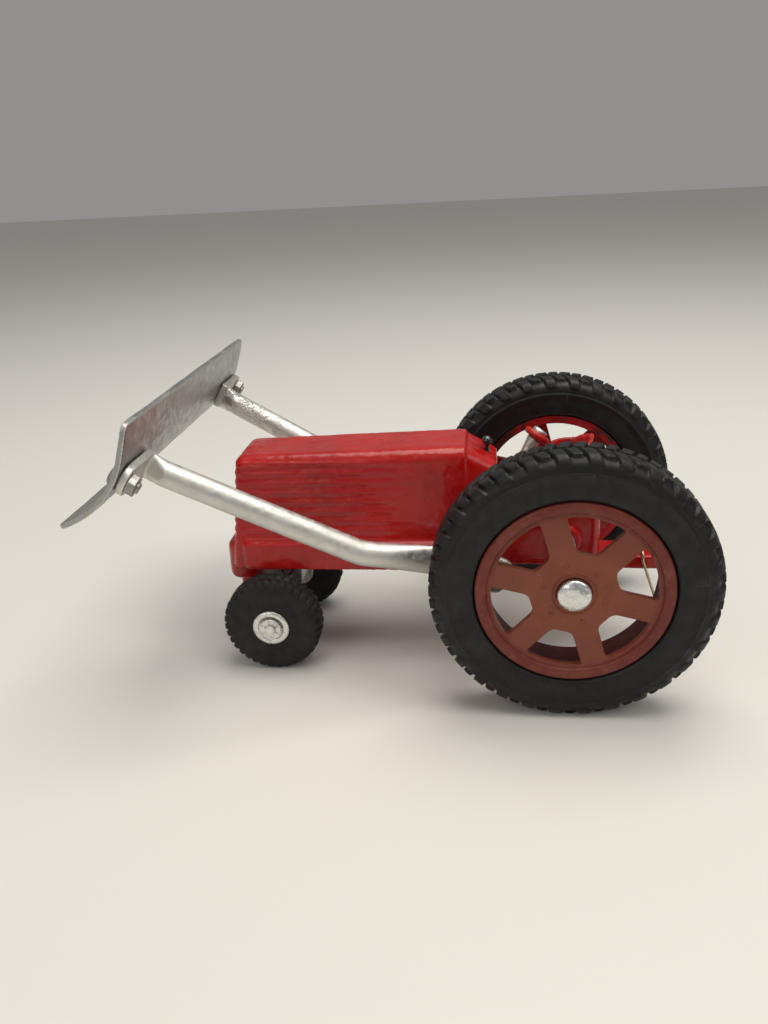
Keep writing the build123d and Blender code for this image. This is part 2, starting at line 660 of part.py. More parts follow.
def front_tab():
    """The flattened front end, bent outwards along the back of the blade."""
    frame = blade_frame()
    tab = frame * Pos(0, 0, FLAT_THICKNESS / 2) * Box(TAB_WIDTH, TAB_LENGTH, FLAT_THICKNESS)
    tab = Pos(0, tab_middle(), 0) * tab
    corners = tab.edges().filter_by(Axis(frame.origin, frame.z_dir)).sort_by(Axis.Y)[2:]
    return fillet(corners, TAB_CORNER)


def loader_arm():
    """A tube, flattened where it meets the pivot and, bent outwards, where it meets the blade."""
    frame = blade_frame()
    front_start, bend, rear_start = arm_points()
    flat_end = front_start - frame.z_dir * (FRONT_TAPER - TAPER_END_GAP)
    slope = math.radians(FLAT_SLOPE)
    along = Vector(math.cos(slope), 0, math.sin(slope))
    upright = Vector(-math.sin(slope), 0, math.cos(slope))
    pivot = Vector(PIVOT_X, ARM_REAR_Y, PIVOT_Z)

    path = FilletPolyline(front_start, bend, rear_start, radius=TUBE_BEND_RADIUS)
    front_plane = Plane(origin=front_start, x_dir=frame.x_dir, z_dir=front_start - bend)
    rear_plane = Plane(origin=rear_start, x_dir=upright, z_dir=rear_start - bend)
    front_flat = Plane(origin=flat_end, x_dir=frame.x_dir, z_dir=frame.z_dir * -1)
    rear_flat = Plane(origin=pivot - along * FLAT_WIDTH / 2, x_dir=upright, z_dir=along)
    tube = sweep(front_plane * Circle(TUBE_RADIUS), path)
    bore = sweep(front_plane * Circle(TUBE_RADIUS - TUBE_WALL), path)

    arm = tube + flattening(front_plane, front_flat, TAB_WIDTH)
    arm += flattening(rear_plane, rear_flat, FLAT_WIDTH)
    arm += rear_tail(Plane(origin=pivot, x_dir=along, z_dir=(0, 1, 0)))
    arm += front_tab()
    arm -= bore
    bore_radius = PIVOT_RADIUS + RUNNING_GAP
    arm -= across(bore_radius, ARM_INNER_Y - LAP, ARM_OUTER_Y + LAP, PIVOT_X, PIVOT_Z)
    return arm - on_axis(bolt_plane(), BOLT_RADIUS, -FLAT_THICKNESS, 2 * FLAT_THICKNESS)


def loader_blade():
    """A sheet bent forwards along its lower half."""
    points = blade_points()
    path = FilletPolyline(*points, radius=BLADE_BEND_RADIUS)
    section = Plane(origin=points[0], x_dir=(0, 1, 0), z_dir=points[1] - points[0])
    sheet = sweep(section * Rectangle(BLADE_WIDTH, BLADE_THICKNESS), path)
    corners = sheet.edges().filter_by(lambda edge: abs(edge.length - BLADE_THICKNESS) < 0.01)
    sheet = fillet(corners, BLADE_CORNER)
    hole = on_axis(bolt_plane(), BOLT_RADIUS, -2 * BLADE_THICKNESS, BLADE_THICKNESS)
    return sheet - hole - hole.mirror(Plane.XZ)


def blade_bolt():
    """A round-headed bolt through the blade from the front; its head is bedded on the bend."""
    plane = bolt_plane()
    head_start = -BLADE_THICKNESS - BOLT_HEAD_HEIGHT
    bolt = on_axis(plane, BOLT_RADIUS, head_start, FLAT_THICKNESS + NUT_HEIGHT + BOLT_END)
    head = on_axis(plane, BOLT_HEAD_RADIUS, head_start, -BLADE_THICKNESS)
    outer = head.faces().sort_by(Axis(plane.origin, plane.z_dir))[0]
    return bolt + fillet(outer.edges(), 0.75 * BOLT_HEAD_HEIGHT) - loader_blade()


def blade_nut():
    plane = bolt_plane()
    hexagon = RegularPolygon(NUT_ACROSS_FLATS / 2, 6, major_radius=False) - Circle(BOLT_RADIUS)
    return extrude(plane * Pos(0, 0, FLAT_THICKNESS) * hexagon, NUT_HEIGHT)


# ---------------------------------------------------------------- driver's place

def column_plane():
    """The steering column's axis: it climbs to the rear and leans a little to the right."""
    slope = math.radians(COLUMN_SLOPE)
    lean = math.radians(COLUMN_LEAN)
    axis = Vector(math.cos(slope) * math.cos(lean), math.sin(lean), math.sin(slope) * math.cos(lean))
    return Plane(origin=COLUMN_FOOT, z_dir=axis)


def column_boss():
    return on_axis(column_plane(), COLUMN_BOSS_RADIUS, -COLUMN_BOSS_LENGTH, COLUMN_BOSS_LENGTH)


def steering_column():
    """A rod with a collar under the steering wheel."""
    plane = column_plane()
    wheel_start = COLUMN_LENGTH - 2 * STEERING_RIM
    rod = on_axis(plane, COLUMN_RADIUS, -COLUMN_BOSS_LENGTH, COLUMN_LENGTH + COLUMN_END)
    collar_middle = wheel_start - END_GAP - COLUMN_COLLAR / 2
    collar = plane * Pos(0, 0, collar_middle) * Cone(COLUMN_RADIUS, COLUMN_CAP_RADIUS, COLUMN_COLLAR)
    return rod + collar


def steering_wheel():
    """A small dished wheel that turns on the column."""
    plane = column_plane() * Plane.XY.offset(COLUMN_LENGTH - STEERING_RIM)
    rim = Torus(STEERING_RADIUS - STEERING_RIM, STEERING_RIM)
    web = Cylinder(STEERING_RADIUS - STEERING_RIM, STEERING_RIM * 1.2)
    wheel = rim + web - Cylinder(COLUMN_RADIUS + RUNNING_GAP, 4 * STEERING_RIM)
    return plane * wheel


def column_cap():
    """A small domed cap that keeps the steering wheel on its column."""
    plane = column_plane()
    start = COLUMN_LENGTH - 0.4 * STEERING_RIM + END_GAP
    cap = on_axis(plane, COLUMN_CAP_RADIUS, start, start + COLUMN_CAP_HEIGHT)
    outer = cap.faces().sort_by(Axis(plane.origin, plane.z_dir))[-1]
    return fillet(outer.edges(), COLUMN_CAP_RADIUS / 3) - steering_column()


def seat_bowl(inset, bottom):
    """A tapered oval body whose upper face is as high as the seat's back."""
    narrowing = (SEAT_BACK_TOP - bottom) * math.tan(math.radians(SEAT_TAPER))
    length = SEAT_LENGTH / 2 - inset
    width = SEAT_WIDTH / 2 - inset
    return loft([
        Pos(SEAT_X, 0, bottom) * Ellipse(length - narrowing, width - narrowing),
        Pos(SEAT_X, 0, SEAT_BACK_TOP) * Ellipse(length, width),
    ])


def seat():
    """A tapered pan with a raised back."""
    pan = seat_bowl(0, SEAT_BOTTOM) - seat_bowl(SEAT_WALL, SEAT_BOTTOM + SEAT_WALL)
    front = SEAT_X - SEAT_LENGTH / 2
    above = SEAT_BACK_TOP + LAP
    slanted_top = side_plate([
        (front - 1, SEAT_FRONT_TOP),
        (front + SEAT_BACK_START * SEAT_LENGTH, SEAT_BACK_START_TOP),
        (front + SEAT_LENGTH, SEAT_BACK_TOP),
        (front + SEAT_LENGTH, above),
        (front - 1, above),
    ], SEAT_WIDTH, -SEAT_WIDTH)
    return pan - slanted_top - seat_post()


def upright_bar(radius, x, bottom, top):
    """A round bar that stands on the tractor's middle line."""
    return Pos(x, 0, (bottom + top) / 2) * Cylinder(radius, top - bottom)


def seat_post():
    """The post under the seat, with a rivet head inside the pan."""
    floor = SEAT_BOTTOM + SEAT_WALL
    shaft = upright_bar(SEAT_POST_RADIUS, SEAT_X, SEAT_POST_FOOT, floor)
    head = upright_bar(RIVET_RADIUS, SEAT_X, floor, floor + RIVET_HEIGHT)
    head = fillet(head.edges().sort_by(Axis.Z)[-1], 0.75 * RIVET_HEIGHT)
    shoulder = upright_bar(RIVET_RADIUS, SEAT_X, SEAT_BOTTOM - SHOULDER_HEIGHT, SEAT_BOTTOM)
    return shaft + head + shoulder


def cowl_knob():
    """A small round-headed stud in the top of the cowl."""
    ball = Pos(KNOB_X, 0, KNOB_Z) * Sphere(KNOB_RADIUS)
    return ball + upright_bar(KNOB_RADIUS / 2, KNOB_X, KNOB_Z - KNOB_STEM, KNOB_Z)


# ---------------------------------------------------------------- hitch

def hitch_wire():
    """A bent wire: a short leg down its hole, a crook and a long leg outside the drawbar."""
    in_hole = WIRE_INSET - DRAWBAR_HALF
    outside = -DRAWBAR_HALF - WIRE_OUTSET
    top = DRAWBAR_TOP + WIRE_RISE
    turn = DRAWBAR_TOP - WIRE_BEND_DROP
    end_x = WIRE_X + (turn - WIRE_LONG_END) * math.tan(math.radians(WIRE_LEAN))
    path = FilletPolyline(
        (WIRE_X, in_hole, WIRE_SHORT_END),
        (WIRE_X, in_hole, top),
        (WIRE_X, outside, top),
        (WIRE_X, outside, turn),
        (end_x, outside, WIRE_LONG_END),
        radius=WIRE_CROOK)
    return sweep(Plane(origin=path @ 0, z_dir=path % 0) * Circle(WIRE_RADIUS), path)


# ---------------------------------------------------------------- the whole tractor

def both_sides(name, piece):
    """A right-hand piece and its mirror image on the left."""
    return {name + "_right": piece, name + "_left": piece.mirror(Plane.XZ)}


def pair(piece):
    """A right-hand piece and its mirror image as two solids of one node."""
    return Compound(children=[piece, piece.mirror(Plane.XZ)])


def build():
    nodes = {
        "body_casting": body_casting(),
        "seat": seat(),
        "seat_post": seat_post(),
        "cowl_knob": cowl_knob(),
        "steering_column": steering_column(),
        "steering_wheel": steering_wheel(),
        "column_cap": column_cap(),
        "rear_axle": rear_axle(),
        "front_axle": front_axle(),
        "front_axle_bracket": front_axle_bracket(),
        "bracket_pin": bracket_pin(),
        "bracket_push_nuts": pair(bracket_push_nut()),
        "pivot_pin": pivot_pin(),
        "pivot_push_nuts": pair(pivot_push_nut()),
        "loader_blade": loader_blade(),
        "blade_bolts": pair(blade_bolt()),
        "blade_nuts": pair(blade_nut()),
        "hitch_wire": hitch_wire(),
    }
    nodes |= both_sides("rear_tyre", rear_tyre())
    nodes |= both_sides("rear_wheel", rear_rim())
    nodes |= both_sides("rear_cap", rear_cap())
    nodes |= both_sides("rear_spacer", rear_spacer())
    nodes |= both_sides("front_tyre", front_tyre())
    nodes |= both_sides("front_hub", front_hub())
    nodes |= both_sides("front_push_nut", front_push_nut())
    nodes |= both_sides("front_spacer", front_spacer())
    nodes |= both_sides("loader_arm", loader_arm())
    return nodes


def main():
    nodes = build()
    front = nodes["loader_blade"].bounding_box().min.X
    shift = -(front + REAR_TYRE_RADIUS) / 2
    print("shift along X", round(shift, 4))
    os.makedirs("parts", exist_ok=True)
    for name, piece in nodes.items():
        export_step(Pos(shift, 0, REAR_TYRE_RADIUS) * piece, f"parts/{name}.step")


main()
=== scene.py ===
import json
import math

import bpy
from mathutils import Matrix, Vector, noise


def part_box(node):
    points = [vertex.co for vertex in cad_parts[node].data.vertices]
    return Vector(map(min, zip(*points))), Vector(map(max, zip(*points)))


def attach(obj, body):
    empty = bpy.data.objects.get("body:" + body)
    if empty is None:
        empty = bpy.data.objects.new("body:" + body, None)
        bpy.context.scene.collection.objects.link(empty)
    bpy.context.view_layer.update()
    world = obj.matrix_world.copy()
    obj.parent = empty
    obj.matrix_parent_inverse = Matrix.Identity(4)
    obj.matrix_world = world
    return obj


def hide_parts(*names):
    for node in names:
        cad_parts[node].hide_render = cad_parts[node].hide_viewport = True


# The looks of a cast toy tractor with a front blade. The frame is the CAD model's: X runs to the
# rear, Y to the tractor's right and Z up from the ground. Shapes are worked out in millimetres and
# turned into metres by MM. The camera, the floor and the lights are in metres.

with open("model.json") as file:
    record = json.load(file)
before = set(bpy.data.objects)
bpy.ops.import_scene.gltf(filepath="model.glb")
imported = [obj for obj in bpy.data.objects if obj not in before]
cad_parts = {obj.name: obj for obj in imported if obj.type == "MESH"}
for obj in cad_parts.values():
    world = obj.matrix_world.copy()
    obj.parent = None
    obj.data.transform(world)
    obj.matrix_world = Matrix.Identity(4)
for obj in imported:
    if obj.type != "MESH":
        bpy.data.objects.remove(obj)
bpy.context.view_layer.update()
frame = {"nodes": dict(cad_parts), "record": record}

MM = 0.001
SIDES = {"left": -1, "right": 1}

# Camera, as the tractor is seen
CAMERA_PLACE = (0.03305, -0.3163, 0.1884)
CAMERA_YAW = -7.67              # degrees, turned towards the front of the tractor
CAMERA_PITCH = 22.47            # degrees below level
CAMERA_ROLL = -3.11
CAMERA_LENS = 29.68             # for a 36 mm sensor along the long side

FLOOR_REACH = 4.0
LAMP_AIM = Vector((0, 0, 0.05))

# Rear tyre, in millimetres
REAR_TREAD_RADIUS = 48.4        # under the lugs
REAR_TREAD_HALF = 5.3           # half the width of the flat tread, where the shoulder begins
SHOULDER_RADIUS = 44.4          # where the shoulder ends and the wall begins
SHOULDER_DROP = REAR_TREAD_RADIUS - SHOULDER_RADIUS
SHOULDER_WIDTH = 3.85
SHOULDER_ARC = 6.28             # length of the shoulder's quarter turn
LUG_PAIRS = 30                  # each pair is a long and a short lug
LUG_DEPTH = 1.5
LUG_CORNER = 1.3
LUG_SLANT = 0.035               # of a pair, for each millimetre across the tyre
LUGS = ((0.04, 0.46, 9.9), (0.55, 0.93, 6.3))   # start, finish (of a pair) and reach (mm)
REAR_COLUMNS = 28               # mesh columns in one pair of lugs

# Front tyre
FRONT_TREAD_RADIUS = 19.0       # under the lugs
FRONT_TREAD_HALF = 2.75
FRONT_LUGS = 36
FRONT_LUG_DEPTH = 0.75
FRONT_COLUMNS = 12

# Rear rim
SPOKES = 6
SPOKE_START = 106.0
SPOKE_HALF = 4.4
WINDOW_OUTER = 28.2
WINDOW_INNER = 15.1
RIM_FACE = 8.0                  # from the wheel's middle to the face of the spokes
PLATE_THICKNESS = 2.8
NUB_CIRCLE = 10.6
NUB_FACE = 8.27

# Caps, push nuts and the hood's ribs
CAP_RADIUS = 5.9
CAP_RISE = 2.3
CAP_BASE = -0.7                 # where the dome starts, from the cap's middle
NUT_TEETH = 6
RIB_COUNT = 9
RIB_PITCH = 3.9
CASTING_FOOT = 15.5             # the parting line at the hood's foot, above the casting's lowest point
FIRST_RIB = 12.3                # above the foot
SIDE_RIB_HEIGHT = 0.40
GRILLE_RIB_HEIGHT = 0.22


# ---------------------------------------------------------------- meshes

def smooth_step(low, high, value):
    share = min(1.0, max(0.0, (value - low) / (high - low)))
    return share * share * (3 - 2 * share)


def mesh_from(name, vertices, faces, sharp):
    """A smooth-shaded mesh from points in millimetres."""
    mesh = bpy.data.meshes.new(name)
    mesh.from_pydata([Vector(v) * MM for v in vertices], [], faces)
    mesh.shade_smooth()
    mesh.set_sharp_from_angle(angle=math.radians(sharp))
    return mesh


def grid_faces(rows, columns):
    """Quads over a grid that is closed both around its columns and along its rows."""
    faces = []
    for column in range(columns):
        here = column * rows
        beyond = ((column + 1) % columns) * rows
        for row in range(rows):
            below = (row + 1) % rows
            faces.append((here + row, here + below, beyond + below, beyond + row))
    return faces


def rounded(points, radius, steps=4):
    """A closed outline with its corners rounded, each in a few short steps."""
    outline = []
    count = len(points)
    for index in range(count):
        corner = Vector(points[index])
        before = Vector(points[index - 1]) - corner
        after = Vector(points[(index + 1) % count]) - corner
        reach = min(radius, before.length * 0.45, after.length * 0.45)
        start = corner + before.normalized() * reach
        finish = corner + after.normalized() * reach
        for step in range(steps + 1):
            share = step / steps
            toward = start.lerp(corner, share).lerp(corner.lerp(finish, share), share)
            outline.append(tuple(toward))
    return outline


def lathe(profile, columns, relief=None):
    """A closed (radius, y) outline turned about Y, with an optional relief(angle, radius, y)."""
    vertices = []
    for column in range(columns):
        angle = 2 * math.pi * column / columns
        for radius, y in profile:
            if relief:
                rise, out = relief(angle, radius, y)
                radius, y = radius + rise, y + out
            vertices.append((radius * math.cos(angle), y, radius * math.sin(angle)))
    return vertices, grid_faces(len(profile), columns)


def joined(parts):
    """Several (vertices, faces) meshes as one."""
    vertices, faces = [], []
    for more_vertices, more_faces in parts:
        base = len(vertices)
        vertices += more_vertices
        faces += [tuple(base + index for index in face) for face in more_faces]
    return vertices, faces


def placed(part, place, side):
    """A part built facing +Y, moved to a place in millimetres and mirrored for the left side."""
    vertices, faces = part
    moved = [(x + place.x, side * y + place.y, z + place.z) for x, y, z in vertices]
    if side > 0:
        faces = [tuple(reversed(face)) for face in faces]
    return moved, faces


def piece(name, mesh, look, body, slot, *nodes):
    """A visible piece that stands for CAD nodes and moves with a body."""
    thing = bpy.data.objects.new(name, mesh)
    bpy.context.scene.collection.objects.link(thing)
    mesh.materials.clear()
    mesh.materials.append(look)
    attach(thing, body)
    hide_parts(*nodes)


def middle_of(node):
    low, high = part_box(node)
    return (low + high) / 2 / MM


def body_of(node):
    for body, nodes in frame["record"]["behaviour"]["bodies"].items():
        if node in nodes:
            return body
    return None


def softened(node, voxel, smoothing, relief=None):
    """A copy of a CAD node's mesh with rounded edges and an uneven, hand-finished surface."""
    copy = bpy.data.objects.new(node + "_copy", frame["nodes"][node].data.copy())
    bpy.context.scene.collection.objects.link(copy)
    remesh = copy.modifiers.new("remesh", "REMESH")
    remesh.mode = "VOXEL"
    remesh.voxel_size = voxel * MM
    smooth = copy.modifiers.new("smooth", "SMOOTH")
    smooth.factor = 0.5
    smooth.iterations = smoothing
    graph = bpy.context.evaluated_depsgraph_get()
    mesh = bpy.data.meshes.new_from_object(copy.evaluated_get(graph))
    bpy.data.objects.remove(copy)
    if relief:
        normals = [v.normal.copy() for v in mesh.vertices]
        for vertex, normal in zip(mesh.vertices, normals):
            vertex.co += normal * relief(vertex.co / MM, normal) * MM
    mesh.shade_smooth()
    return mesh


def soft_piece(node, voxel, smoothing, look, slot, relief=None, name=None):
    """A visible piece made from a CAD node's own mesh, softened and with a relief."""
    mesh = softened(node, voxel, smoothing, relief)
    piece(name or node + "_finished", mesh, look, body_of(node), slot, node)


def lumps(size, height, inwards=False):
    """A relief of soft lumps of that size and height, in millimetres, or of hollows only."""
    def relief(point, normal):
        level = noise.noise(point / size)
        return height * (level / 2 - 0.5 if inwards else level)
    return relief


# ---------------------------------------------------------------- looks

def new_look(name, color, roughness, metallic=0.0):
    look = bpy.data.materials.new(name)
    look.use_nodes = True
    shader = look.node_tree.nodes["Principled BSDF"]
    shader.inputs["Base Color"].default_value = (*color, 1.0)
    shader.inputs["Roughness"].default_value = roughness
    shader.inputs["Metallic"].default_value = metallic
    return look, shader


def object_points(look, stretch=(1.0, 1.0, 1.0)):
    """Object coordinates, in metres, stretched along the axes."""
    nodes, links = look.node_tree.nodes, look.node_tree.links
    place = nodes.new("ShaderNodeTexCoord")
    mapping = nodes.new("ShaderNodeMapping")
    mapping.inputs["Scale"].default_value = stretch
    links.new(place.outputs["Object"], mapping.inputs["Vector"])
    return mapping.outputs["Vector"]


def grain(look, size, detail=3.0, stretch=(1.0, 1.0, 1.0), roughness=0.55):
    """A noise from 0 to 1 whose features are about that many millimetres across."""
    nodes, links = look.node_tree.nodes, look.node_tree.links
    texture = nodes.new("ShaderNodeTexNoise")
    texture.inputs["Scale"].default_value = 1 / (size * MM)
    texture.inputs["Detail"].default_value = detail
    texture.inputs["Roughness"].default_value = roughness
    links.new(object_points(look, stretch), texture.inputs["Vector"])
    return texture.outputs["Fac"]


def spread(look, value, low, high, start=0.0, finish=1.0):
    """Maps low..high of a value to start..finish."""
    nodes, links = look.node_tree.nodes, look.node_tree.links
    ramp = nodes.new("ShaderNodeMapRange")
    ramp.interpolation_type = "SMOOTHSTEP"
    ramp.inputs["From Min"].default_value = low
    ramp.inputs["From Max"].default_value = high
    ramp.inputs["To Min"].default_value = start
    ramp.inputs["To Max"].default_value = finish
    links.new(value, ramp.inputs["Value"])
    return ramp.outputs["Result"]


def product(look, first, second):
    nodes, links = look.node_tree.nodes, look.node_tree.links
    times = nodes.new("ShaderNodeMath")
    times.operation = "MULTIPLY"
    links.new(first, times.inputs[0])
    links.new(second, times.inputs[1])
    return times.outputs[0]


def blended(look, shader, layers):
    """Base colour: the shader's own colour, then layers of (amount, colour) over it."""
    nodes, links = look.node_tree.nodes, look.node_tree.links
    current = None
    base = tuple(shader.inputs["Base Color"].default_value)
    for amount, color in layers:
        mix = nodes.new("ShaderNodeMix")
        mix.data_type = "RGBA"
        mix.inputs[6].default_value = base
        if current:
            links.new(current, mix.inputs[6])
        mix.inputs[7].default_value = (*color, 1.0)
        links.new(amount, mix.inputs[0])
        current = mix.outputs[2]
    links.new(current, shader.inputs["Base Color"])


def bumped(look, shader, layers):
    """Bumps from (height, depth in millimetres) layers, coarse first."""
    nodes, links = look.node_tree.nodes, look.node_tree.links
    normal = None
    for height, depth in layers:
        bump = nodes.new("ShaderNodeBump")
        bump.inputs["Distance"].default_value = depth * MM
        links.new(height, bump.inputs["Height"])
        if normal:
            links.new(normal, bump.inputs["Normal"])
        normal = bump.outputs["Normal"]
    links.new(normal, shader.inputs["Normal"])


def worn_edges(look, low=0.52, high=0.60):
    """Where a surface is sharply convex, as edges that are rubbed."""
    nodes = look.node_tree.nodes
    geometry = nodes.new("ShaderNodeNewGeometry")
    return spread(look, geometry.outputs["Pointiness"], low, high)


def position_mask(look, axis, low, high):
    """Rises from 0 to 1 between two places, in millimetres, along an axis."""
    nodes, links = look.node_tree.nodes, look.node_tree.links
    split = nodes.new("ShaderNodeSeparateXYZ")
    links.new(object_points(look), split.inputs["Vector"])
    return spread(look, split.outputs[axis], low * MM, high * MM)


def red_paint(name, color=(0.43, 0.005, 0.004), dark=(0.31, 0.004, 0.004)):
    """Thick gloss paint, brushed by hand over a sand casting."""
    look, shader = new_look(name, color, 0.33)
    shader.inputs["Specular IOR Level"].default_value = 0.30
    shader.inputs["Coat Weight"].default_value = 0.30
    shader.inputs["Coat Roughness"].default_value = 0.08
    brushed = grain(look, 1.4, 4, (0.16, 1.0, 1.0))
    blended(look, shader, [
        (spread(look, grain(look, 22), 0.40, 0.70, 0, 0.8), dark),
        (spread(look, brushed, 0.58, 0.80, 0, 0.22), (0.50, 0.022, 0.018)),
        (product(look, worn_edges(look), spread(look, grain(look, 2.5), 0.5, 0.7, 0, 0.35)),
         (0.55, 0.06, 0.04)),
    ])
    links = look.node_tree.links
    links.new(spread(look, grain(look, 5), 0.35, 0.7, 0.24, 0.42), shader.inputs["Roughness"])
    bumped(look, shader, [
        (grain(look, 7, 2), 0.40),
        (brushed, 0.11),
        (grain(look, 0.7, 2), 0.030),
    ])
    return look


def axle_distance(look, node):
    """Distance from the axis of a wheel, in metres."""
    nodes, links = look.node_tree.nodes, look.node_tree.links
    place = middle_of(node) * MM
    shift = nodes.new("ShaderNodeVectorMath")
    shift.operation = "SUBTRACT"
    shift.inputs[1].default_value = (place.x, 0, place.z)
    links.new(object_points(look, (1.0, 0.0, 1.0)), shift.inputs[0])
    length = nodes.new("ShaderNodeVectorMath")
    length.operation = "LENGTH"
    links.new(shift.outputs["Vector"], length.inputs[0])
    return length.outputs["Value"]


def rim_plastic(side):
    """Faded red brown moulded plastic: smooth and browner in the middle, redder at the lip."""
    node = "rear_wheel_" + side
    look, shader = new_look("rim_plastic_" + side, (0.235, 0.062, 0.031), 0.5)
    shader.inputs["Specular IOR Level"].default_value = 0.32
    distance = axle_distance(look, node)
    outer = spread(look, distance, 27.0 * MM, 29.5 * MM)
    spokes = spread(look, distance, 15.5 * MM, 20.0 * MM, 0, 0.75)
    layers = [
        (spokes, (0.195, 0.048, 0.028)),
        (product(look, outer, spread(look, grain(look, 8), 0.30, 0.62, 0.4, 1)), (0.145, 0.022, 0.017)),
        (spread(look, grain(look, 12, 4), 0.45, 0.75, 0, 0.5), (0.145, 0.036, 0.023)),
        (spread(look, grain(look, 2.6, 5), 0.55, 0.78, 0, 0.35), (0.31, 0.11, 0.062)),
        (product(look, worn_edges(look), spread(look, grain(look, 1.6), 0.40, 0.65, 0, 0.6)),
         (0.42, 0.20, 0.13)),
    ]
    # painted shade: the barrel behind the spokes is darkened where the tyre and the plate shade it
    deep = middle_of("rear_tyre_" + side).y + SIDES[side] * (RIM_FACE - PLATE_THICKNESS)
    inside = position_mask(look, "Y", deep, deep - SIDES[side] * 2.5)
    barrel = spread(look, distance, 28.0 * MM, 28.6 * MM, 0, 0.8)
    layers.append((product(look, inside, barrel), (0.030, 0.012, 0.010)))
    if side == "right":
        # red paint has blown onto the side that faces the tractor
        face = middle_of("rear_tyre_right").y + RIM_FACE
        inner_side = position_mask(look, "Y", face - 0.7, face - 1.4)
        blotches = spread(look, grain(look, 9, 3), 0.42, 0.54)
        layers.append((product(look, inner_side, blotches), (0.34, 0.006, 0.008)))
    blended(look, shader, layers)
    links = look.node_tree.links
    links.new(spread(look, grain(look, 4), 0.3, 0.7, 0.28, 0.52), shader.inputs["Roughness"])
    bumped(look, shader, [(grain(look, 9, 3), 0.22), (grain(look, 0.5, 3), 0.02)])
    return look


def rubber(name, color, dust, shine):
    """Black moulded rubber with dust in its pattern."""
    look, shader = new_look(name, color, shine)
    shader.inputs["Specular IOR Level"].default_value = 0.34
    blended(look, shader, [
        (spread(look, grain(look, 9, 4), 0.45, 0.75, 0, 0.8), dust),
        (product(look, worn_edges(look, 0.53, 0.62), spread(look, grain(look, 1.2), 0.35, 0.7)),
         tuple(3.2 * c for c in dust)),
    ])
    links = look.node_tree.links
    patchy = spread(look, grain(look, 3), 0.3, 0.7, shine - 0.08, shine + 0.14)
    links.new(patchy, shader.inputs["Roughness"])
    bumped(look, shader, [(grain(look, 2.6, 3), 0.08), (grain(look, 0.35, 2), 0.02)])
    return look


def bare_metal(name, color, roughness, streaks, pits=0.05, smudge=(0.30, 0.29, 0.28)):
    """Satin metal with fine streaks along a direction, smudges and pits."""
    look, shader = new_look(name, color, roughness, 1.0)
    streak = grain(look, 0.5, 3, streaks)
    blended(look, shader, [
        (spread(look, grain(look, 10, 5), 0.48, 0.78, 0, 0.65), smudge),
        (spread(look, streak, 0.55, 0.8, 0, 0.25), tuple(min(1.0, 1.25 * c) for c in color)),
    ])
    links = look.node_tree.links
    links.new(
        spread(look, grain(look, 2.2, 4), 0.3, 0.7, roughness - 0.10, roughness + 0.14),
        shader.inputs["Roughness"])
    bumped(look, shader, [(grain(look, 3.0, 4), pits), (streak, 0.02), (grain(look, 0.4, 2), 0.012)])
    return look


def tube_silver():
    return bare_metal(
        "tube_silver", (0.66, 0.645, 0.61), 0.50, (1.0, 0.3, 0.3), 0.04, (0.50, 0.49, 0.47))


def crinkled_silver():
    """Silver tube whose paint has crinkled near the blade."""
    look = bare_metal(
        "crinkled_silver", (0.66, 0.645, 0.61), 0.46, (1.0, 0.3, 0.3), 0.06, (0.48, 0.47, 0.45))
    nodes, links = look.node_tree.nodes, look.node_tree.links
    shader = nodes["Principled BSDF"]
    crinkled = product(
        look, spread(look, grain(look, 1.1, 5, roughness=0.7), 0.45, 0.58),
        product(look, position_mask(look, "X", -55, -68), spread(look, grain(look, 9), 0.36, 0.50)))
    extra = nodes.new("ShaderNodeBump")
    extra.inputs["Distance"].default_value = 0.22 * MM
    before = shader.inputs["Normal"].links[0].from_socket
    links.new(before, extra.inputs["Normal"])
    links.new(crinkled, extra.inputs["Height"])
    links.new(extra.outputs["Normal"], shader.inputs["Normal"])
    return look


def blade_metal():
    """Rolled sheet with smudges, small yellow scuffs on the front of its lip and painted reddish
    reflections of the casting.
    """
    look, shader = new_look("blade_metal", (0.40, 0.40, 0.395), 0.40, 1.0)
    streak = grain(look, 0.45, 3, (1.0, 0.12, 1.0))
    lip = product(
        look, position_mask(look, "Z", 94, 86),
        spread(look, grain(look, 4.5, 5), 0.56, 0.66, 0, 0.6))
    blended(look, shader, [
        (spread(look, grain(look, 16, 4), 0.42, 0.72, 0, 0.5), (0.30, 0.295, 0.29)),
        # painted reflection: small reddish patches stand for the red casting mirrored in the blade
        (spread(look, grain(look, 2.6, 6), 0.60, 0.80, 0, 0.25), (0.36, 0.30, 0.27)),
        (lip, (0.46, 0.39, 0.20)),
        (worn_edges(look, 0.515, 0.57), (0.80, 0.79, 0.77)),
    ])
    links = look.node_tree.links
    links.new(spread(look, grain(look, 3, 4), 0.3, 0.7, 0.30, 0.55), shader.inputs["Roughness"])
    bumped(look, shader, [(grain(look, 9, 3), 0.35), (streak, 0.03), (grain(look, 0.8, 4), 0.03)])
    return look


def hammered(name, color, roughness, size, depth):
    """Bright metal with small hammer dents."""
    look, shader = new_look(name, color, roughness, 1.0)
    nodes, links = look.node_tree.nodes, look.node_tree.links
    cells = nodes.new("ShaderNodeTexVoronoi")
    cells.feature = "SMOOTH_F1"
    cells.inputs["Scale"].default_value = 1 / (size * MM)
    links.new(object_points(look), cells.inputs["Vector"])
    blended(look, shader, [(spread(look, grain(look, 1.5, 5), 0.5, 0.75, 0, 0.6), (0.42, 0.41, 0.40))])
    links.new(spread(look, grain(look, 1, 3), 0.3, 0.7, roughness - 0.08, roughness + 0.15),
              shader.inputs["Roughness"])
    bumped(look, shader, [(cells.outputs["Distance"], depth), (grain(look, 0.5, 3), 0.03)])
    return look


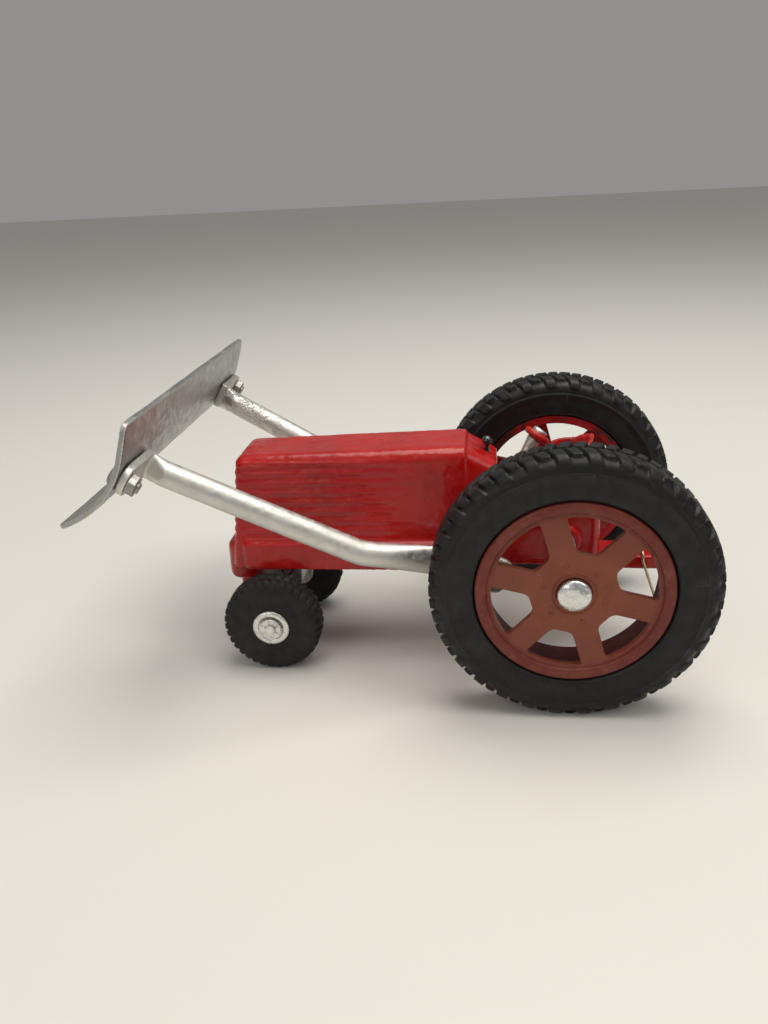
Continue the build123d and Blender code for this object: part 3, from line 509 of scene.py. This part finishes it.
def black_gloss():
    look, shader = new_look("black_gloss", (0.008, 0.008, 0.010), 0.12)
    shader.inputs["Coat Weight"].default_value = 1.0
    shader.inputs["Coat Roughness"].default_value = 0.04
    blended(look, shader, [(spread(look, grain(look, 0.8, 4), 0.6, 0.8, 0, 0.4), (0.05, 0.05, 0.05))])
    bumped(look, shader, [(grain(look, 1.5, 2), 0.02)])
    return look


# ---------------------------------------------------------------- tyres

def rear_tyre_profile():
    """The tyre's outline under its lugs, from the bead round the tread and back."""
    side = [(34.1, 7.4), (34.5, 8.9), (36.0, 9.35), (40.0, 9.5), (43.1, 9.4)]
    side += [(43.3, 9.62), (43.7, 9.62), (43.9, 9.3)]
    steps = 15
    for step in range(steps + 1):
        angle = math.pi / 2 * step / steps
        radius = SHOULDER_RADIUS + SHOULDER_DROP * math.sin(angle)
        side.append((radius, REAR_TREAD_HALF + SHOULDER_WIDTH * math.cos(angle)))
    for step in range(1, steps):
        side.append((REAR_TREAD_RADIUS, REAR_TREAD_HALF - REAR_TREAD_HALF * step / steps))
    other = [(radius, -y) for radius, y in reversed(side)]
    return side + [(REAR_TREAD_RADIUS, 0.0)] + other + [(33.8, -6.5), (33.8, 6.5)]


def lug_mask(place, reach, start, finish, pitch, end):
    """1 inside a lug that spans start..finish of a pair and reaches to end, with round ends."""
    half = (finish - start) / 2
    beside = abs((place - (start + finish) / 2 + pitch / 2) % pitch - pitch / 2) - half
    along = reach - end
    outside = math.hypot(max(beside + LUG_CORNER, 0), max(along + LUG_CORNER, 0)) - LUG_CORNER
    inside = min(max(beside, along), 0)
    return 1 - smooth_step(-0.35, 0.35, outside + inside)


def tread_reach(radius, across):
    """Distance from the middle of the tread, along the surface, in millimetres."""
    if radius >= REAR_TREAD_RADIUS - 0.01:
        return across
    turn = math.atan2(radius - SHOULDER_RADIUS, across - REAR_TREAD_HALF + 0.01)
    return REAR_TREAD_HALF + SHOULDER_ARC - SHOULDER_DROP * turn


def rear_relief(angle, radius, y):
    """Lugs: long and short ones in turn on the shoulder, set off between the two sides."""
    if radius < 43.95:
        return 0.0, 0.0
    across = abs(y)
    pitch = 2 * math.pi * REAR_TREAD_RADIUS / LUG_PAIRS
    turn = angle / (2 * math.pi) * LUG_PAIRS + (0.25 if y < 0 else 0.0)
    turn = turn + LUG_SLANT * across
    reach = tread_reach(radius, across)
    place = (turn % 1.0) * pitch
    masks = [lug_mask(place, reach, start * pitch, finish * pitch, pitch, end)
             for start, finish, end in LUGS]
    height = LUG_DEPTH * max(masks)
    height *= 1 - 0.85 * (1 - smooth_step(0.25, 0.75, across))
    height *= 1 - 0.45 * smooth_step(7.0, 10.5, reach)
    lean = min(1.0, max(0.0, (across - 4.6) / 4.6))
    steep = math.sin(lean * math.pi / 2)
    rise = height * math.sqrt(1 - 0.98 * steep * steep)
    out = height * steep * (1 if y > 0 else -1) * 0.55
    return rise, out


def turned_piece(name, node, part, side, sharp, look, slot):
    """A round part put in the place of a CAD node."""
    mesh = mesh_from(node, *placed(part, middle_of(node), SIDES[side]), sharp)
    piece(f"{name}_{side}", mesh, look, body_of(node), slot, node)


def rear_tyre(side):
    part = lathe(rear_tyre_profile(), LUG_PAIRS * REAR_COLUMNS, rear_relief)
    turned_piece(
        "rear_tyre_lugged", "rear_tyre_" + side, part, side, 60, LOOKS["rear_rubber"], "rear_rubber")


def front_tyre_profile():
    side = [(6.4, 5.3), (7.9, 5.6), (9.0, 5.2), (10.6, 4.85), (12.6, 5.0), (14.6, 5.45), (15.8, 5.55)]
    steps = 8
    for step in range(steps + 1):
        angle = math.pi / 2 * step / steps
        side.append((16.2 + 2.8 * math.sin(angle), FRONT_TREAD_HALF + FRONT_TREAD_HALF * math.cos(angle)))
    for step in range(1, 6):
        side.append((FRONT_TREAD_RADIUS, FRONT_TREAD_HALF - FRONT_TREAD_HALF * step / 6))
    other = [(radius, -y) for radius, y in reversed(side)]
    return side + [(FRONT_TREAD_RADIUS, 0.0)] + other + [(6.0, -4.6), (6.0, 4.6)]


def front_relief(angle, radius, y):
    """Shallow lugs that wrap onto the shoulder."""
    if radius < 15.7:
        return 0.0, 0.0
    turn = angle / (2 * math.pi) * FRONT_LUGS + (0.5 if y < 0 else 0.0) + 0.07 * abs(y)
    position = abs((turn % 1.0) - 0.5) * 2
    lug = 1 - smooth_step(0.56, 0.80, position)
    height = FRONT_LUG_DEPTH * lug * smooth_step(16.9, 18.3, radius)
    height *= 1 - 0.8 * (1 - smooth_step(0.2, 0.7, abs(y)))
    return height, 0.0


def front_tyre(side):
    part = lathe(front_tyre_profile(), FRONT_LUGS * FRONT_COLUMNS, front_relief)
    turned_piece(
        "front_tyre_lugged", "front_tyre_" + side, part, side, 60, LOOKS["front_rubber"], "front_rubber")


# ---------------------------------------------------------------- rear rims and caps

def evenly(points, step):
    """A closed outline with points about that far apart."""
    dense = []
    for here, beyond in zip(points, points[1:] + points[:1]):
        count = max(1, round(math.dist(here, beyond) / step))
        for k in range(count):
            share = k / count
            dense.append(tuple(a + (b - a) * share for a, b in zip(here, beyond)))
    return dense


def window_outline(number):
    """One opening between two spokes, as points in the wheel's plane: softer towards the hub."""
    first = math.radians(SPOKE_START + 360 / SPOKES * number)
    second = first + 2 * math.pi / SPOKES
    outer_turn = math.asin(SPOKE_HALF / WINDOW_OUTER)
    inner_turn = math.asin(SPOKE_HALF / WINDOW_INNER)
    outer = [first + outer_turn + (second - first - 2 * outer_turn) * k / 14 for k in range(15)]
    inner = [second - inner_turn - (second - first - 2 * inner_turn) * k / 6 for k in range(7)]
    outline = [(WINDOW_OUTER * math.cos(a), WINDOW_OUTER * math.sin(a)) for a in outer]
    outline += [(WINDOW_INNER * math.cos(a), WINDOW_INNER * math.sin(a)) for a in inner]
    dense = evenly(outline, 0.35)
    count = len(dense)
    smooth = []
    for index in range(0, count, 2):
        reach = 3 if math.hypot(*dense[index]) > 22 else 6
        near = [dense[(index + k) % count] for k in range(-reach, reach + 1)]
        smooth.append(tuple(sum(values) / len(near) for values in zip(*near)))
    return smooth


def circle_outline(radius, steps):
    angles = [2 * math.pi * k / steps for k in range(steps)]
    return [(radius * math.cos(angle), radius * math.sin(angle)) for angle in angles]


def plate_with_holes(outlines, thickness, edge):
    """A flat plate with soft edges, as (vertices, faces) around the wheel's middle."""
    curve = bpy.data.curves.new("plate", "CURVE")
    curve.dimensions = "2D"
    curve.fill_mode = "BOTH"
    curve.extrude = thickness / 2 - edge
    curve.bevel_depth = edge
    curve.bevel_resolution = 2
    curve.offset = -edge
    for outline in outlines:
        spline = curve.splines.new("POLY")
        spline.points.add(len(outline) - 1)
        for point, (x, y) in zip(spline.points, outline):
            point.co = (x, y, 0, 1)
        spline.use_cyclic_u = True
    holder = bpy.data.objects.new("plate", curve)
    mesh = bpy.data.meshes.new_from_object(holder)
    vertices = [(v.co.x, RIM_FACE - thickness / 2 - v.co.z, v.co.y) for v in mesh.vertices]
    faces = [tuple(reversed(f.vertices)) for f in mesh.polygons]
    bpy.data.objects.remove(holder)
    return vertices, faces


def dome(radius, height, place):
    """A small round bump on the face of a wheel."""
    profile = [(0.02, -0.3), (radius, -0.3)]
    profile += [(radius * math.cos(a), height * math.sin(a)) for a in (0.0, 0.4, 0.8, 1.2, 1.5)]
    vertices, faces = lathe(profile, 14)
    return [(x + place[0], y + place[1], z + place[2]) for x, y, z in vertices], faces


def rim_parts():
    """Barrel with a domed lip, spoked plate, hub with a raised plate, and moulding nubs."""
    barrel = rounded([
        (30.4, -8.0), (33.8, -8.0), (33.8, 8.3), (33.1, 9.1), (31.6, 9.3), (30.2, 9.0), (29.5, 8.2),
        (29.3, 6.6)], 0.5, 3)
    hub = rounded([
        (2.6, -8.0), (6.8, -8.0), (7.6, 5.2), (14.0, 5.2), (14.7, 7.6), (14.2, 8.04), (11.0, 8.3),
        (8.0, 8.42), (7.4, 8.2), (6.9, 7.4), (2.6, 7.4)], 0.9, 4)
    windows = [window_outline(number) for number in range(SPOKES)]
    plate = plate_with_holes([circle_outline(30.2, 120), circle_outline(6, 40)] + windows,
                             PLATE_THICKNESS, 0.4)
    parts = [lathe(barrel, 200), lathe(hub, 160), plate]
    for spoke in range(SPOKES):
        angle = math.radians(SPOKE_START + 360 / SPOKES * spoke)
        place = (NUB_CIRCLE * math.cos(angle), NUB_FACE, NUB_CIRCLE * math.sin(angle))
        parts.append(dome(0.75, 0.6, place))
    return parts


def rear_rim(side):
    """The rim is placed by its tyre, which is even on both sides of the wheel's middle."""
    node = "rear_wheel_" + side
    part = placed(joined(rim_parts()), middle_of("rear_tyre_" + side), SIDES[side])
    piece("rear_rim_moulded_" + side, mesh_from(node, *part, sharp=40), LOOKS["rim_" + side],
          body_of(node), "rim_plastic", node)


def cap_relief(angle, radius, y):
    """Shallow dents of a cap that was tapped on with a hammer."""
    point = Vector((radius * math.cos(angle), radius * math.sin(angle), 4.0))
    return 0.0, 0.22 * noise.noise(point / 2.1) * smooth_step(5.8, 4.6, radius)


def rear_cap(side):
    profile = [(2.55, -1.6), (5.75, -1.6), (CAP_RADIUS, -1.4), (CAP_RADIUS, -0.75)]
    steps = 16
    for step in range(1, steps + 1):
        angle = step / steps * math.pi / 2
        profile.append((CAP_RADIUS * math.cos(angle) + 0.02, CAP_RISE * math.sin(angle) + CAP_BASE))
    profile += [(0.02, 0.0), (2.55, 0.0)]
    part = lathe(profile, 72, cap_relief)
    turned_piece("rear_cap_domed", "rear_cap_" + side, part, side, 50, LOOKS["bright_cap"], "bright_cap")


# ---------------------------------------------------------------- front hubs and push nuts

def front_hub(side):
    """A spool whose outer flange is a domed ring around the push nut."""
    outline = rounded([
        (2.08, -6.75), (7.0, -6.75), (7.4, -5.7), (6.0, -5.6), (6.0, 5.6), (7.4, 5.65), (7.3, 6.3),
        (6.5, 6.75), (5.3, 6.72), (4.8, 6.35), (2.08, 6.35)], 0.35, 4)
    part = lathe(outline, 96)
    turned_piece("front_hub_turned", "front_hub_" + side, part, side, 50, LOOKS["bright_hub"], "bright_hub")


def nut_relief(angle, radius, y):
    """Six slots between the teeth of a push nut, which is dished towards its middle."""
    tooth = abs((angle / (2 * math.pi) * NUT_TEETH) % 1.0 - 0.5) / (NUT_TEETH / 2) * math.pi * radius
    slot = (1 - smooth_step(0.20, 0.42, tooth)) * smooth_step(3.9, 3.5, radius)
    drop = 0.6 * slot + 0.25 * smooth_step(4.4, 2.4, radius) if y > 0.05 else 0.0
    return 0.0, -drop


def front_push_nut(side):
    outline = [(2.02, -0.4), (4.3, -0.4), (4.4, -0.3), (4.4, 0.0), (4.2, 0.24), (4.0, 0.3)]
    outline += [(4.0 - 1.9 * k / 10, 0.3) for k in range(1, 11)] + [(2.02, 0.2)]
    part = lathe(outline, 180, nut_relief)
    turned_piece(
        "front_push_nut_star", "front_push_nut_" + side, part, side, 60, LOOKS["bright_hub"], "bright_cap")


# ---------------------------------------------------------------- casting

def casting_relief(low):
    """Ribs on the hood's sides and grille, soft lumps, and a rough parting line at the foot."""
    foot = low.z + CASTING_FOOT

    def relief(point, normal):
        height = 0.16 * noise.noise(point / 9.0) + 0.07 * noise.noise(point / 2.8)
        level = (point.z - (foot + FIRST_RIB)) / RIB_PITCH
        on_ribs = smooth_step(-0.6, 0.0, level) * smooth_step(RIB_COUNT - 0.4, RIB_COUNT - 1.0, level)
        from_front = point.x - low.x
        if abs(normal.y) > 0.75 and abs(point.y) > 13:
            fade = smooth_step(84, 40, from_front) * smooth_step(6.5, 11.0, from_front)
            height += SIDE_RIB_HEIGHT * fade * on_ribs * (math.cos(2 * math.pi * level) ** 3)
        if normal.x < -0.75 and from_front < 16:
            height += GRILLE_RIB_HEIGHT * on_ribs * math.cos(2 * math.pi * level)
        near_foot = 1 - smooth_step(0.3, 1.6, abs(point.z - foot))
        height += 0.22 * near_foot * noise.noise(point / 1.7)
        return height

    return relief


def body_casting():
    node = "body_casting"
    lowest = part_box(node)[0] / MM
    soft_piece(
        node, 0.55, 7, LOOKS["red_paint"], "red_casting", casting_relief(lowest), "body_casting_painted")


# ---------------------------------------------------------------- everything

def make_looks():
    lengthways = (0.08, 1.0, 1.0)
    return {
        "red_paint": red_paint("red_paint"),
        "seat_paint": red_paint("seat_paint", (0.50, 0.012, 0.010), (0.20, 0.006, 0.006)),
        "dark_red": red_paint("dark_red", (0.16, 0.010, 0.010), (0.05, 0.008, 0.008)),
        "rim_left": rim_plastic("left"),
        "rim_right": rim_plastic("right"),
        "rear_rubber": rubber("rear_rubber", (0.0055, 0.0055, 0.0060), (0.014, 0.014, 0.0145), 0.46),
        "front_rubber": rubber("front_rubber", (0.010, 0.010, 0.0095), (0.022, 0.022, 0.021), 0.58),
        "tube_left": tube_silver(),
        "tube_right": crinkled_silver(),
        "blade_metal": blade_metal(),
        "bright_cap": hammered("bright_cap", (0.74, 0.74, 0.73), 0.28, 2.4, 0.20),
        "bright_hub": hammered("bright_hub", (0.78, 0.77, 0.75), 0.32, 2.2, 0.10),
        "steel": bare_metal("steel", (0.52, 0.51, 0.49), 0.42, lengthways, 0.08),
        "dark_steel": bare_metal(
            "dark_steel", (0.36, 0.35, 0.33), 0.44, (1, 1, 1), 0.10, (0.20, 0.19, 0.18)),
        "bracket_steel": bare_metal("bracket_steel", (0.62, 0.60, 0.55), 0.40, (1, 1, 0.1), 0.16),
        "black_gloss": black_gloss(),
        "wire": bare_metal("wire", (0.50, 0.42, 0.28), 0.36, (1, 1, 0.1), 0.02),
    }


def dress_node(node, look):
    """A CAD node whose shape is right, with its finish."""
    thing = frame["nodes"][node]
    thing.data.materials.clear()
    thing.data.materials.append(look)
    for polygon in thing.data.polygons:
        polygon.material_index = 0


def wheels():
    for side in SIDES:
        rear_tyre(side)
        rear_rim(side)
        rear_cap(side)
        front_tyre(side)
        front_hub(side)
        front_push_nut(side)
        dress_node("rear_spacer_" + side, LOOKS["steel"])
        dress_node("front_spacer_" + side, LOOKS["steel"])
    dress_node("rear_axle", LOOKS["steel"])
    dress_node("front_axle", LOOKS["bright_hub"])


def front_end():
    soft_piece("front_axle_bracket", 0.3, 3, LOOKS["bracket_steel"], "silver_steel", lumps(2.0, 0.12))
    dress_node("bracket_pin", LOOKS["steel"])
    dress_node("bracket_push_nuts", LOOKS["dark_red"])


def loader():
    for side in SIDES:
        tube = LOOKS["tube_" + side]
        soft_piece("loader_arm_" + side, 0.45, 5, tube, "silver_aluminium", lumps(8.0, 0.10))
    hollows = lumps(14.0, 0.25, inwards=True)
    soft_piece("loader_blade", 0.5, 3, LOOKS["blade_metal"], "blade_aluminium", hollows)
    soft_piece("blade_bolts", 0.22, 2, LOOKS["dark_steel"], "silver_steel", lumps(1.2, 0.05))
    soft_piece("blade_nuts", 0.22, 2, LOOKS["dark_steel"], "silver_steel", lumps(1.2, 0.05))
    dress_node("pivot_pin", LOOKS["steel"])
    dress_node("pivot_push_nuts", LOOKS["steel"])


def drivers_place():
    soft_piece("seat", 0.28, 4, LOOKS["seat_paint"], "red_casting", lumps(3.0, 0.16))
    soft_piece("seat_post", 0.25, 3, LOOKS["dark_red"], "red_steel", lumps(2.0, 0.08))
    soft_piece("steering_column", 0.25, 3, LOOKS["bracket_steel"], "silver_steel", lumps(2.0, 0.10))
    soft_piece("steering_wheel", 0.22, 3, LOOKS["red_paint"], "red_enamel", lumps(2.0, 0.06))
    soft_piece("column_cap", 0.18, 3, LOOKS["bright_hub"], "silver_steel", lumps(1.5, 0.06))
    soft_piece("cowl_knob", 0.15, 3, LOOKS["black_gloss"], "black_knob")


def studio():
    """A plain pale floor under soft lights."""
    mesh = bpy.data.meshes.new("floor")
    corners = [(-1, -1), (1, -1), (1, 1), (-1, 1)]
    mesh.from_pydata([(x * FLOOR_REACH, y * FLOOR_REACH, 0) for x, y in corners], [], [(0, 1, 2, 3)])
    floor = bpy.data.objects.new("floor", mesh)
    bpy.context.scene.collection.objects.link(floor)
    look, shader = new_look("floor", (0.74, 0.725, 0.685), 0.55)
    mesh.materials.append(look)

    world = bpy.data.worlds.new("studio")
    bpy.context.scene.world = world
    world.use_nodes = True
    background = world.node_tree.nodes["Background"]
    background.inputs["Color"].default_value = (0.63, 0.62, 0.60, 1.0)
    background.inputs["Strength"].default_value = 0.45

    for name, place, size, power in (
        ("overhead", (0.15, 0.05, 1.1), 0.9, 11.0),
        ("front_fill", (-0.7, -1.0, 0.8), 0.9, 3.0),
        ("window", (1.0, -0.5, 1.0), 0.6, 2.4),
    ):
        lamp = bpy.data.lights.new(name, "AREA")
        lamp.size = size
        lamp.color = (1.0, 0.965, 0.91)
        lamp.energy = power
        light = bpy.data.objects.new(name, lamp)
        light.location = place
        light.rotation_mode = "QUATERNION"
        light.rotation_quaternion = (LAMP_AIM - Vector(place)).to_track_quat("-Z", "Y")
        bpy.context.scene.collection.objects.link(light)
    bpy.context.scene.view_settings.view_transform = "Standard"


def camera():
    yaw, pitch, roll = (math.radians(a) for a in (CAMERA_YAW, CAMERA_PITCH, CAMERA_ROLL))
    level = math.cos(pitch)
    forward = Vector((math.sin(yaw) * level, math.cos(yaw) * level, -math.sin(pitch)))
    level_right = Vector((math.cos(yaw), -math.sin(yaw), 0))
    level_up = level_right.cross(forward)
    right = level_right * math.cos(roll) + level_up * math.sin(roll)
    up = level_up * math.cos(roll) - level_right * math.sin(roll)
    data = bpy.data.cameras.new("camera")
    data.lens = CAMERA_LENS
    data.sensor_width = 36.0
    data.clip_start = 0.01
    eye = bpy.data.objects.new("camera", data)
    turn = Matrix((right, up, -forward)).transposed().to_4x4()
    eye.matrix_world = Matrix.Translation(CAMERA_PLACE) @ turn
    bpy.context.scene.collection.objects.link(eye)
    bpy.context.scene.camera = eye


camera()
studio()
LOOKS = make_looks()
wheels()
front_end()
loader()
drivers_place()
body_casting()
dress_node("hitch_wire", LOOKS["wire"])
